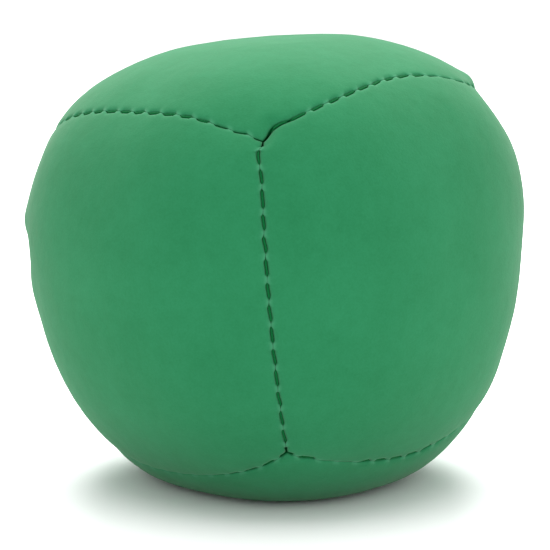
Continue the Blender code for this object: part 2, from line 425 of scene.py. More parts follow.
@dataclass(frozen=True)
class Seam:
    """One seam: where it runs, and where its stitches fall.

    A place is from -1 to 1 along the cube's edge; a station is a distance from the seam's start.
    """

    name: str
    sides: tuple[tuple[int, int], tuple[int, int]]  # the axis and side of both panels, by axis
    number: int
    shape: FilledShape
    sewing: Sewing
    closed_by_hand: bool = False

    @property
    def free_axis(self) -> int:
        """The cube axis that the seam runs along."""
        return 3 - self.sides[0][0] - self.sides[1][0]

    def directions(self, places: np.ndarray) -> np.ndarray:
        """Return directions in the sewn cube's frame for places along the seam."""
        parts = np.empty(np.shape(places) + (3,))
        for axis, side in self.sides:
            parts[..., axis] = side
        parts[..., self.free_axis] = np.tan(places * math.pi / 4)
        return parts

    @cached_property
    def _measured(self) -> tuple[np.ndarray, np.ndarray]:
        """Evenly spread places along the seam, and the station of each."""
        places = np.linspace(-1, 1, 401)
        points = self.shape.skin(self.directions(places))
        steps = np.linalg.norm(np.diff(points, axis=0), axis=1)
        return places, np.concatenate([[0.0], np.cumsum(steps)])

    def station(self, places: np.ndarray) -> np.ndarray:
        """Return the stations of places along the seam."""
        return np.interp(places, *self._measured)

    def place(self, stations: np.ndarray) -> np.ndarray:
        """Return the places of stations along the seam."""
        return np.interp(stations, self._measured[1], self._measured[0])

    @property
    def length(self) -> float:
        """The seam's length over the skin."""
        return float(self._measured[1][-1])

    @property
    def hand_start(self) -> float:
        """The station from which the seam is closed by hand, its own length when it is not."""
        return self.length - self.sewing.hand_length if self.closed_by_hand else self.length

    @cached_property
    def holes(self) -> np.ndarray:
        """The stations of the machine's needle holes."""
        sewing = self.sewing
        end = self.hand_start - sewing.corner_gap
        count = round((end - sewing.corner_gap) / sewing.stitch)
        even = np.linspace(sewing.corner_gap, end, count + 1)
        stray = np.random.default_rng(self.number).uniform(-1, 1, count + 1)
        return even + stray * sewing.uneven * sewing.stitch

    @cached_property
    def slants(self) -> np.ndarray:
        """How strongly each machine stitch slants, before the first and after the last too."""
        count = len(self.holes) + 1
        return np.random.default_rng(self.number + 50).uniform(*self.sewing.slants, count)

    @cached_property
    def hand_holes(self) -> np.ndarray:
        """The stations at which the hand stitches cross the seam."""
        if not self.closed_by_hand:
            return np.empty(0)
        end = self.length - self.sewing.corner_gap
        count = round((end - self.hand_start) / self.sewing.hand_stitch)
        even = np.linspace(self.hand_start, end, count + 1)
        stray = np.random.default_rng(self.number + 90).uniform(-1, 1, count + 1)
        return even + stray * self.sewing.hand_uneven * self.sewing.hand_stitch

    def phase(self, stations: np.ndarray) -> np.ndarray:
        """Return how many stitches lie before each station, below 0 before the first hole."""
        holes, stitch = self.holes, self.sewing.stitch
        within = np.interp(stations, holes, np.arange(len(holes)))
        before = np.minimum(stations - holes[0], 0) / stitch
        return within + before + np.maximum(stations - holes[-1], 0) / stitch

    @property
    def settled(self) -> Settling:
        """How the seam has settled."""
        return SETTLED.get(self.name, Settling())

    def pinch(self, stations: np.ndarray) -> np.ndarray:
        """Return how tightly the cloth is pinched, 1 at a needle hole and 0 between holes."""
        every = np.concatenate([self.holes, self.hand_holes])
        away = np.abs(np.asarray(stations)[..., None] - every).min(axis=-1)
        held = 1 - smoothstep((away - self.sewing.hole_half) / self.sewing.hole_fade)
        return held * self.settled.grip_at(stations)

    def closure(self, stations: np.ndarray) -> np.ndarray:
        """Return how far the slit is shut, by its stitches and by how it has settled."""
        gape = np.minimum(self.settled.gape_at(stations), 1.0)
        return 1 - (1 - self.pinch(stations)) * gape

    def within(self, stations: np.ndarray) -> np.ndarray:
        """Return 1 where the seam is machine sewn, fading to 0 past its ends."""
        outside = np.maximum(self.holes[0] - stations, stations - self.holes[-1])
        return 1 - smoothstep(outside / self.sewing.corner_gap)

    def frame(self, stations: np.ndarray) -> tuple[np.ndarray, np.ndarray, np.ndarray]:
        """Return the smooth skin along the seam, and two directions at each point.

        Args:
            stations: Distances from the seam's start.

        Returns:
            Points, outward unit vectors, and unit vectors towards the first panel.
        """
        directions = self.directions(self.place(stations))
        normals = self.shape.normals(directions)
        ahead, behind = (
            self.shape.skin(self.directions(self.place(stations + step)))
            for step in (0.05 * MM, -0.05 * MM)
        )
        towards = self.handed * unit_rows(np.cross(normals, ahead - behind))
        return self.shape.skin(directions), normals, towards

    def slit(self, stations: np.ndarray) -> np.ndarray:
        """Return half the gap between the panels."""
        sewing, within, gape = self.sewing, self.within(stations), self.settled.gape_at(stations)
        widest = sewing.slit * np.maximum(gape, 1.0)
        between = widest + (sewing.pinched_slit - widest) * self.closure(stations)
        beyond = np.where(
            stations > self.hand_start, sewing.pinched_slit, sewing.corner_slit * gape)
        return beyond + (between - beyond) * within

    def sideways(self, stations: np.ndarray) -> np.ndarray:
        """Return how far the seam strays towards its first panel, as each stitch slants."""
        phase = self.phase(stations)
        stitch = np.clip(np.floor(phase).astype(int) + 1, 0, len(self.slants) - 1)
        wave = -np.sin(2 * math.pi * phase) * self.slants[stitch]
        return self.handed * self.sewing.drift * wave * self.within(stations)

    @cached_property
    def handed(self) -> int:
        """1 where the first panel is on the left, looking along the seam from outside, or -1."""
        out, first, along = np.zeros(3), np.zeros(3), np.zeros(3)
        for axis, side in self.sides:
            out[axis] = side
        first[self.sides[0][0]] = self.sides[0][1]
        along[self.free_axis] = 1
        return int(np.sign(np.dot(np.cross(out, along), first)))


CLOSED_BY_HAND = "bottom_back_left"


def seam_name(first: tuple[int, int], second: tuple[int, int]) -> str:
    """Name the seam between two faces, each given by its axis and side, in order of axis."""
    if second[0] == 2:
        level = "top" if second[1] > 0 else "bottom"
        panel = next(face.name for face in FACES if (face.axis, face.side) == first)
        return f"{level}_{panel}"
    return {(-1, -1): "front", (1, -1): "right", (1, 1): "back", (-1, 1): "left"}[
        first[1], second[1]]


def all_seams(shape: FilledShape, sewing: Sewing) -> dict[frozenset, Seam]:
    """Lay out the twelve seams.

    Args:
        shape: The form that the seams lie on.
        sewing: How they are sewn.

    Returns:
        The seams by the pair of cube sides that each joins.
    """
    seams: dict[frozenset, Seam] = {}
    for low, high in ((0, 1), (0, 2), (1, 2)):
        for low_side, high_side in ((-1, -1), (-1, 1), (1, -1), (1, 1)):
            sides = ((low, low_side), (high, high_side))
            name = seam_name(*sides)
            seams[frozenset(sides)] = Seam(
                name, sides, len(seams), shape, sewing, name == CLOSED_BY_HAND)
    return seams


@dataclass(frozen=True)
class PanelEdge:
    """One of a panel's four edges, and the seam that it is sewn into."""

    seam: Seam
    across: bool  # the edge closes the panel's across direction, or else its up direction
    end: int  # at that direction's -1 or +1 end
    along: int  # 1 where the panel's other direction runs the seam's way, or else -1
    drift: int  # 1 where the seam's first panel is this one, or else -1

    def station(self, across: np.ndarray, up: np.ndarray) -> np.ndarray:
        """Return the seam's stations beside places on the panel."""
        return self.seam.station(self.along * (up if self.across else across))

    def reach(self, across: np.ndarray, up: np.ndarray) -> np.ndarray:
        """Return how far towards the edge places lie, 1 being on it."""
        return self.end * (across if self.across else up)

    def inset(self, stations: np.ndarray) -> np.ndarray:
        """Return how far from the seam's line the panel's folded edge lies."""
        return self.seam.slit(stations) + self.drift * self.seam.sideways(stations)


def panel_edges(face: CubeFace, seams: dict[frozenset, Seam]) -> list[PanelEdge]:
    """List the four edges of a panel."""
    edges = []
    for across in (True, False):
        crossed = (face.axis + (1 if across else 2)) % 3
        for end in (-1, 1):
            side = end * face.side if across else end
            seam = seams[frozenset(((face.axis, face.side), (crossed, side)))]
            along = 1 if across else face.side
            drift = 1 if seam.sides[0] == (face.axis, face.side) else -1
            edges.append(PanelEdge(seam, across, end, along, drift))
    return edges


@dataclass
class SwelledBag:
    """The bag's cloth, swelled by the grain's pressure between its pinned seams.

    The simulation runs on a bag thirty times the real size, because the solver's masses and
    stiffnesses are made for things the size of a person. What it gives is each point's shift
    from the smooth shape, kept as one square of shifts for each panel.
    """

    shape: FilledShape
    sewing: Sewing
    cells: int = 36
    scale: float = 30.0
    frames: int = 24
    pressure: float = 20.0
    slack: float = 0.20 * MM  # the cloth starts this far inside the smooth shape
    cap: float = 0.45 * MM  # no point may end further than this from the smooth shape
    drawn_width: float = 1.6  # millimetres from a seam over which it draws the cloth in
    floor_ease: float = 1.2 * MM  # the cloth is undisturbed on the floor, and up to this near it
    shifts: dict[str, np.ndarray] = field(default_factory=dict)

    def simulate(self) -> None:
        bag = self._cube_of_cloth()
        cube = vertex_places(bag.data).round(6)
        directions = np.tan(cube * math.pi / 4)
        skin = self.shape.skin(directions)
        normals = self.shape.normals(directions)
        from_seam = self._seam_distance(cube)
        drawn_in = self.slack + (self.sewing.sink - self.slack) * np.exp(
            -(from_seam / self.drawn_width) ** 2)
        start = skin - normals * (drawn_in * self._lifted(skin))[:, None]
        move_vertices(bag.data, start * self.scale)
        self._pin(bag, from_seam, skin)
        self._swell(bag)
        ended = vertex_places(bag.data) / self.scale
        shift = ended - skin
        length = np.linalg.norm(shift, axis=1, keepdims=True)
        shift *= np.minimum(1.0, self.cap / np.maximum(length, 1e-9))
        shift[:, 2] = np.maximum(shift[:, 2], -skin[:, 2] + CAD_BOX[0][2])
        for face in FACES:
            self.shifts[face.name] = self._square(face, cube, shift)
        bpy.data.objects.remove(bag)
        moved = np.linalg.norm(ended - start, axis=1)
        log.info("cloth swelled by %.2f mm at most", moved.max() / MM)

    def _cube_of_cloth(self) -> bpy.types.Object:
        """Add a cube with each side cut into even cells."""
        deselect_all()
        bpy.ops.mesh.primitive_cube_add(size=2)
        bag = bpy.context.object
        bag.name = "bag_cloth"
        bpy.ops.object.mode_set(mode="EDIT")
        bpy.ops.mesh.select_all(action="SELECT")
        bpy.ops.mesh.subdivide(number_cuts=self.cells - 1)
        bpy.ops.object.mode_set(mode="OBJECT")
        return bag

    def _seam_distance(self, cube: np.ndarray) -> np.ndarray:
        """Return each point's distance from its nearest seam, in millimetres."""
        ordered = np.sort(np.abs(cube), axis=1)
        return (1 - ordered[:, 1]) * self.shape.half_width * math.pi / 4 / MM

    def _lifted(self, skin: np.ndarray) -> np.ndarray:
        """Return 1 away from the floor, easing to 0 where the cloth lies on it."""
        return smoothstep((skin[:, 2] - CAD_BOX[0][2]) / self.floor_ease)

    def _pin(self, bag: bpy.types.Object, from_seam: np.ndarray, skin: np.ndarray) -> None:
        """Pin the seams, and the patch that lies on the floor."""
        group = bag.vertex_groups.new(name="pinned")
        held = (from_seam < 0.01) | (self._lifted(skin) < 0.02)
        group.add([int(index) for index in np.nonzero(held)[0]], 1.0, "REPLACE")

    def _swell(self, bag: bpy.types.Object) -> None:
        """Run the cloth simulation under pressure and apply its last frame."""
        make_active(bag)
        cloth = bag.modifiers.new("Cloth", "CLOTH")
        settings = cloth.settings
        settings.quality = 5
        settings.mass = 0.3
        settings.tension_stiffness = 40
        settings.compression_stiffness = 40
        settings.shear_stiffness = 15
        settings.bending_stiffness = 2.0
        settings.use_pressure = True
        settings.uniform_pressure_force = self.pressure
        settings.vertex_group_mass = "pinned"
        settings.effector_weights.gravity = 0
        cloth.collision_settings.use_collision = False
        cloth.point_cache.frame_start = 1
        cloth.point_cache.frame_end = self.frames
        for step in range(1, self.frames + 1):
            bpy.context.scene.frame_set(step)
        bpy.ops.object.modifier_apply(modifier=cloth.name)
        bpy.context.scene.frame_set(1)

    def _square(self, face: CubeFace, cube: np.ndarray, shift: np.ndarray) -> np.ndarray:
        """Return one panel's shifts in rows of up and columns of across."""
        on_face = np.nonzero(np.isclose(cube[:, face.axis], face.side))[0]
        across = cube[on_face, (face.axis + 1) % 3] * face.side
        up = cube[on_face, (face.axis + 2) % 3]
        column = np.round((across + 1) / 2 * self.cells).astype(int)
        row = np.round((up + 1) / 2 * self.cells).astype(int)
        square = np.zeros((self.cells + 1, self.cells + 1, 3))
        square[row, column] = shift[on_face]
        return square

    def shift_at(self, face: CubeFace, across: np.ndarray, up: np.ndarray) -> np.ndarray:
        """Read one panel's shifts between the simulated points, by smooth cubic curves.

        Args:
            face: The panel's square.
            across: Places from -1 to 1 across it.
            up: Places from -1 to 1 up it.

        Returns:
            A shift for each place.
        """
        square = self.shifts[face.name]
        padded = np.concatenate([2 * square[:1] - square[1:2], square,
                                 2 * square[-1:] - square[-2:-1]], axis=0)
        padded = np.concatenate([2 * padded[:, :1] - padded[:, 1:2], padded,
                                 2 * padded[:, -1:] - padded[:, -2:-1]], axis=1)
        rows, row_weights = self._cubic(up)
        columns, column_weights = self._cubic(across)
        total = np.zeros(np.shape(across) + (3,))
        for row_step in range(4):
            for column_step in range(4):
                weight = row_weights[row_step] * column_weights[column_step]
                total += weight[..., None] * padded[rows + row_step, columns + column_step]
        return total

    def _cubic(self, places: np.ndarray) -> tuple[np.ndarray, list[np.ndarray]]:
        """Return the first of four neighbours for each place, and the four's weights."""
        spot = np.clip((places + 1) / 2, 0, 1) * self.cells
        cell = np.minimum(spot.astype(int), self.cells - 1)
        t = spot - cell
        weights = [
            (-t + 2 * t ** 2 - t ** 3) / 2,
            (2 - 5 * t ** 2 + 3 * t ** 3) / 2,
            (t + 4 * t ** 2 - 3 * t ** 3) / 2,
            (-t ** 2 + t ** 3) / 2,
        ]
        return cell, weights


@dataclass(frozen=True)
class Panel:
    """One suede panel: its outer and inner faces, and the allowance turned in at its edges.

    It is laid out flat first: a grid, with a ring extruded from its edge for each step of the
    fold and the allowance, and a second layer for the wrong side. Every vertex is then carried
    to its place on the ball.
    """

    face: CubeFace
    edges: tuple[PanelEdge, ...]
    bag: SwelledBag
    cells: int = 150
    crowding: float = 0.5  # 0 spaces the grid evenly; more crowds its lines towards the seams
    half_arc: float = 24.6 * MM  # from the panel's middle to a seam
    fold_start: float = 0.85 * MM  # the grid ends and the fold begins this far from a seam
    cloth: float = 0.55 * MM
    fold_rings: int = 6
    fold_radius: float = 0.40 * MM
    pinched_radius: float = 0.06 * MM
    allowance_steps: tuple[float, ...] = (0.35 * MM, 0.9 * MM, 1.8 * MM, 3.0 * MM)
    highlight_fade: float = 0.3 * MM  # painted highlight: the fold is painted paler this far round a needle hole, where the pinched cloth catches light
    closed_slit: float = 0.03 * MM  # the allowances touch below the fold, but for this
    closing_depth: float = 0.8 * MM  # the slit narrows to that over this depth
    inner_drop: float = 0.15 * MM  # how far the wrong side's fold passes under the cloth
    floor_ease: float = 1.5 * MM  # lumps and creases fade out this near the floor
    unpinched_highlight: float = 0.2  # the painted highlight along a fold, 1 being at a needle hole
    ring_step: float = 0.01
    lump: float = 0.035 * MM  # how far the grain shows through the cloth
    lump_size: float = 5.0 * MM
    cut: float = 0.058  # the flat square that the panel is cut from
    cut_area: float = 0.00292  # with its sides bowed and its corners trimmed

    @property
    def name(self) -> str:
        """The panel's name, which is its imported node's too."""
        return "panel_" + self.face.name

    @property
    def reach(self) -> float:
        """The outermost grid line, from 0 at the panel's middle to 1 at the seam."""
        return 1 - self.fold_start / self.half_arc

    def build(self) -> bpy.types.Object:
        """Lay the panel out flat, and carry it to its place on the ball."""
        piece = self._flat_layout()
        flat = vertex_places(piece.data)
        wrong_side = flat[:, 2] < -0.5
        largest = np.abs(flat[:, :2]).max(axis=1)
        ring = np.round((largest - 1) / self.ring_step).astype(int).clip(0)
        base = flat[:, :2] / (1 + ring * self.ring_step)[:, None]
        places = np.empty_like(flat)
        for side in (False, True):
            inside = (ring == 0) & (wrong_side == side)
            places[inside] = self._grid_points(base[inside], side)
            for step in range(1, ring.max() + 1):
                chosen = (ring == step) & (wrong_side == side)
                places[chosen] = self._ring_points(base[chosen], step, side)
        move_vertices(piece.data, self.bag.shape.nudged(places))
        # Painted highlight: how much each vertex on a fold is painted paler, most at the needle
        # holes, where the cloth catches light.
        add_point_values(piece.data, "fold", self._fold_highlight_values(base, ring))
        shut = np.where(ring > self.fold_rings, 0.0, self._closure_at(base))
        # Painted shade: how far each vertex deep in an open slit is painted darker, where the
        # slit's walls shade it.
        add_point_values(piece.data, "hidden", smoothstep((ring - 3) / 3) * (1 - shut))
        make_active(piece)
        bpy.ops.object.shade_smooth_by_angle(angle=math.radians(60))
        return piece

    def _flat_layout(self) -> bpy.types.Object:
        """Add a flat grid, extrude its rings, and give it a second layer."""
        deselect_all()
        bpy.ops.mesh.primitive_grid_add(
            x_subdivisions=self.cells, y_subdivisions=self.cells, size=2)
        piece = bpy.context.object
        piece.name = self.name
        piece.data.name = self.name
        bpy.ops.object.mode_set(mode="EDIT")
        bpy.ops.mesh.select_mode(type="EDGE")
        bpy.ops.mesh.select_all(action="DESELECT")
        bpy.ops.mesh.select_non_manifold()
        before = 1.0
        for step in range(1, self.fold_rings + len(self.allowance_steps) + 1):
            size = 1 + step * self.ring_step
            bpy.ops.mesh.extrude_region_move()
            bpy.ops.transform.resize(
                value=(size / before, size / before, 1), center_override=(0, 0, 0))
            before = size
        bpy.ops.object.mode_set(mode="OBJECT")
        layer = piece.modifiers.new("wrong side", "SOLIDIFY")
        layer.thickness = 1.0
        layer.offset = -1.0
        bpy.ops.object.modifier_apply(modifier=layer.name)
        return piece

    def _spread(self, places: np.ndarray) -> np.ndarray:
        """Crowd evenly spaced places towards the seams, up to the panel's reach."""
        eased = (1 - self.crowding) * places + self.crowding * np.sin(places * math.pi / 2)
        return eased * self.reach

    def _surface(self, across: np.ndarray, up: np.ndarray) -> np.ndarray:
        """Return the panel's right side at places on its square."""
        sewing = self.bag.sewing
        stations = [edge.station(across, up) for edge in self.edges]
        insets = [(1 - edge.reach(across, up)) * self.half_arc for edge in self.edges]
        crease, dimple = np.zeros_like(across), np.zeros_like(across)
        shift = {True: np.zeros_like(across), False: np.zeros_like(across)}
        for edge, station, inset in zip(self.edges, stations, insets):
            crease = np.maximum(
                crease, sewing.crease * np.exp(-(inset / sewing.crease_width) ** 2))
            near = np.exp(-np.maximum(inset, 0) / sewing.dimple_width)
            dimple = dimple + sewing.dimple * edge.seam.pinch(station) * near
            follow = np.exp(-np.maximum(inset - self.fold_start, 0) / sewing.dimple_width)
            moved = (edge.inset(station) - sewing.slit) * follow / self.half_arc
            shift[edge.across] = shift[edge.across] - edge.end * moved
        across, up = across + shift[True], up + shift[False]
        directions = self.face.directions(across, up)
        skin = self.bag.shape.skin(directions)
        normals = self.bag.shape.normals(directions)
        lifted = smoothstep((skin[..., 2] - CAD_BOX[0][2]) / self.floor_ease)
        raised = (self._lumps(skin) - crease - dimple) * lifted
        return skin + self.bag.shift_at(self.face, across, up) + normals * raised[..., None]

    def _lumps(self, points: np.ndarray) -> np.ndarray:
        """Return how far the grain pushes the cloth out or lets it in."""
        rows = points.reshape(-1, 3) / self.lump_size
        rough = [noise.fractal(Vector(row), 0.6, 2.2, 3) for row in rows]
        return self.lump * np.array(rough).reshape(points.shape[:-1])

    def _grid_points(self, base: np.ndarray, wrong_side: bool) -> np.ndarray:
        """Return places for the grid's own vertices on one side of the cloth."""
        across, up = self._spread(base[:, 0]), self._spread(base[:, 1])
        points = self._surface(across, up)
        if wrong_side:
            points -= self.cloth * self.bag.shape.normals(self.face.directions(across, up))
        return points

    def _turned_in(self, base: np.ndarray, depth: np.ndarray | float, below: float,
                   extra: float) -> np.ndarray:
        """Return points of the turned-in allowance.

        Args:
            base: Places on the flat grid's outline.
            depth: How deep under the smooth skin each point lies.
            below: How far under the fold's end the points are, which closes the slit.
            extra: How much further from the seam they lie, for the cloth's wrong side.

        Returns:
            A point for each place.
        """
        even = self._spread(base) / self.reach
        coordinates = [even[:, 0].copy(), even[:, 1].copy()]
        closing = smoothstep(np.array(below / self.closing_depth))
        corner = np.full(len(base), self.bag.sewing.corner_slit + extra)
        insets = {True: corner, False: corner}
        for edge in self.edges:
            column = 0 if edge.across else 1
            on_edge = np.isclose(base[:, column], edge.end)
            station = edge.station(even[:, 0], even[:, 1])
            slit = edge.inset(station) * (1 - closing) + self.closed_slit * closing
            insets[edge.across] = np.where(on_edge, slit + extra, insets[edge.across])
        for across, column in ((True, 0), (False, 1)):
            coordinates[column] *= 1 - insets[across] / self.half_arc
        directions = self.face.directions(*coordinates)
        normals = self.bag.shape.normals(directions)
        return self.bag.shape.skin(directions) - normals * np.reshape(depth, (-1, 1))

    def _closure_at(self, base: np.ndarray) -> np.ndarray:
        """Return how far the slit is shut beside each place on the outline."""
        even = self._spread(base) / self.reach
        closure = np.zeros(len(base))
        for edge in self.edges:
            on_edge = np.isclose(base[:, 0 if edge.across else 1], edge.end)
            station = edge.station(even[:, 0], even[:, 1])
            closure = np.where(on_edge, edge.seam.closure(station), closure)
        return closure

    def _ring_points(self, base: np.ndarray, step: int, wrong_side: bool) -> np.ndarray:
        """Return places for one ring of the fold or the allowance.

        Args:
            base: The ring's places on the flat grid's outline.
            step: The ring's number, counted out from the grid.
            wrong_side: Whether the points are on the cloth's wrong side.

        Returns:
            A point for each place.
        """
        sewing = self.bag.sewing
        closure = self._closure_at(base)
        radius = self.fold_radius + (self.pinched_radius - self.fold_radius) * closure
        fold_end = sewing.sink + sewing.crease + radius
        extra = self.cloth if wrong_side else 0.0
        if wrong_side:
            inner_end = sewing.sink + sewing.crease + self.cloth + self.inner_drop
            fold_end = np.maximum(fold_end, inner_end)
        if step > self.fold_rings:
            below = self.allowance_steps[step - self.fold_rings - 1]
            return self._turned_in(base, fold_end + below, below, extra)
        start = self._grid_points(base, wrong_side)
        inner = base * np.where(np.isclose(np.abs(base), 1), 0.995, 1.0)
        heading = unit_rows(start - self._grid_points(inner, wrong_side))
        end = self._turned_in(base, fold_end, 0.0, extra)
        even = self._spread(base) / self.reach
        down = -self.bag.shape.normals(self.face.directions(even[:, 0], even[:, 1]))
        gap = end - start
        drop = np.abs((gap * down).sum(1, keepdims=True))
        width = np.linalg.norm(gap - down * (gap * down).sum(1, keepdims=True), axis=1,
                               keepdims=True)
        t = step / self.fold_rings
        first, second = start + heading * width * 0.6, end - down * drop * 0.55
        return ((1 - t) ** 3 * start + 3 * (1 - t) ** 2 * t * first
                + 3 * (1 - t) * t ** 2 * second + t ** 3 * end)

    def _fold_highlight_values(self, base: np.ndarray, ring: np.ndarray) -> np.ndarray:
        """Return the painted highlight: 1 on the fold at each needle hole, less between them, and
        0 round about.
        """
        places = self._spread(base)
        even, fold_highlight = places / self.reach, np.zeros(len(base))
        for edge in self.edges:
            inset = (self.reach - edge.reach(places[:, 0], places[:, 1])) * self.half_arc
            pinch = edge.seam.pinch(edge.station(even[:, 0], even[:, 1]))
            held = self.unpinched_highlight + (1 - self.unpinched_highlight) * pinch
            fold_highlight = np.maximum(fold_highlight, np.exp(-inset / self.highlight_fade) * held)
        # The painted highlight lies on the rounded fold and fades out on the allowance turned in
        # below it.
        crest = (0.05 + 0.95 * smoothstep((ring - 0.5) / 3.5)) * np.clip(4 - ring / 2, 0, 1)
        return fold_highlight * crest

    def dress(self, piece: bpy.types.Object, suede: bpy.types.Material,
              unbrushed_in_painted_shade: bpy.types.Material) -> None:
        """Give the panel its finishes and its body."""
        mesh = piece.data
        mesh.materials.clear()
        mesh.materials.append(suede)
        mesh.materials.append(unbrushed_in_painted_shade)
        hidden = np.empty(len(mesh.vertices), dtype=np.float32)
        mesh.attributes["hidden"].data.foreach_get("value", hidden)
        # Faces that lie mostly in the painted slit shade take the darker material.
        for polygon in mesh.polygons:
            polygon.material_index = int(hidden[list(polygon.vertices)].mean() > 0.5)
        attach(piece, BODY)
        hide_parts(self.name)


@dataclass(frozen=True)
class Thread:
    """A length of three-ply thread: a ribbed, twisted cylinder that is laid along a path."""

    radius: float = 0.16 * MM
    sides: int = 9
    cuts: int = 14
    plies: int = 3
    ply_relief: float = 0.13  # how far the plies stand out, as a share of the radius
    turns: float = 1.6  # turns of the plies over the length

    def straight(self) -> bpy.types.Object:
        """Model the thread straight, from 0 to 1 along X."""
        deselect_all()
        bpy.ops.mesh.primitive_cylinder_add(
            vertices=self.sides, radius=self.radius, depth=1, location=(0.5, 0, 0),
            rotation=(0, math.pi / 2, 0))
        thread = bpy.context.object
        bpy.ops.object.transform_apply(location=True, rotation=True, scale=True)
        bpy.ops.object.mode_set(mode="EDIT")
        for cut in range(1, self.cuts):
            bpy.ops.mesh.select_all(action="SELECT")
            bpy.ops.mesh.bisect(plane_co=(cut / self.cuts, 0, 0), plane_no=(1, 0, 0))
        bpy.ops.object.mode_set(mode="OBJECT")
        places = vertex_places(thread.data)
        angle = np.arctan2(places[:, 2], places[:, 1])
        twist = places[:, 0] * self.turns * 2 * math.pi
        places[:, 1:] *= (1 + self.ply_relief * np.cos(self.plies * (angle - twist)))[:, None]
        move_vertices(thread.data, places)
        return thread

    def laid(self, template: bpy.types.Object, path: np.ndarray,
             upward: np.ndarray) -> bpy.types.Object:
        """Copy the straight thread and carry the copy onto a path.

        Args:
            template: The straight thread.
            path: Its middle line, a point for each of its cuts and both ends.
            upward: The direction that its Z side turns to, at each of those points.

        Returns:
            The copy, with its own mesh.
        """
        copy = bpy.data.objects.new(template.name, template.data.copy())
        bpy.context.scene.collection.objects.link(copy)
        places = vertex_places(copy.data)
        ring = np.round(places[:, 0] * self.cuts).astype(int)
        tangent = unit_rows(np.gradient(path, axis=0))
        side = unit_rows(np.cross(upward, tangent))
        out = np.cross(tangent, side)
        move_vertices(copy.data, path[ring] + side[ring] * places[:, 1:2]
                      + out[ring] * places[:, 2:3])
        return copy


def joined(pieces: list[bpy.types.Object], name: str) -> bpy.types.Object:
    """Join several objects into one, smooth it, and name it."""
    make_active(pieces[0])
    for piece in pieces:
        piece.select_set(True)
    if len(pieces) > 1:
        bpy.ops.object.join()
    whole = bpy.context.object
    whole.name = name
    whole.data.name = name
    bpy.ops.object.shade_smooth_by_angle(angle=math.radians(70))
    return whole


@dataclass(frozen=True)
class SeamThread:
    """The lockstitches of one seam, each diving into a needle hole at both its ends."""

    seam: Seam
    thread: Thread = Thread()
    rise: float = 0.25 * MM  # how far under the cloth a stitch's middle line lies
    dive: float = 0.85 * MM  # and at its holes
    covered: float = 0.45 * MM  # how much deeper it lies where the cloth has closed over it
    level: float = 0.60  # share of a stitch's half length over which it lies level

    @property
    def name(self) -> str:
        """The thread's name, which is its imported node's too."""
        return "seam_thread_" + self.seam.name

    def build(self) -> bpy.types.Object:
        """Model one stitch, copy it along the seam, and join the copies."""
        template = self.thread.straight()
        holes = self.seam.holes
        stitches = []
        for start, end in zip(holes[:-1], holes[1:]):
            along = np.linspace(0, 1, self.thread.cuts + 1)
            path, normals = self._path(start + along * (end - start), np.abs(2 * along - 1))
            stitches.append(self.thread.laid(template, path, normals))
        bpy.data.objects.remove(template)
        return joined(stitches, self.name)

    def _path(self, stations: np.ndarray, off_middle: np.ndarray) -> tuple[np.ndarray, np.ndarray]:
        """Return one stitch's middle line and the outward direction along it.

        Args:
            stations: The stitch's stations along the seam.
            off_middle: How far each is from the stitch's middle, 1 being its holes.

        Returns:
            Points, and unit vectors.
        """
        seam = self.seam
        dive = smoothstep((off_middle - self.level) / (1 - self.level))
        depth = seam.sewing.sink + seam.sewing.crease + self.rise + (self.dive - self.rise) * dive
        depth += self.covered * (1 - np.minimum(seam.settled.gape_at(stations), 1.0))
        points, normals, towards = seam.frame(stations)
        path = points + towards * seam.sideways(stations)[:, None] - normals * depth[:, None]
        return seam.shape.nudged(path), normals

    def dress(self, piece: bpy.types.Object, thread: bpy.types.Material) -> None:
        """Give the thread its finish and its body."""
        piece.data.materials.clear()
        piece.data.materials.append(thread)
        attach(piece, BODY)
        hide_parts(self.name)


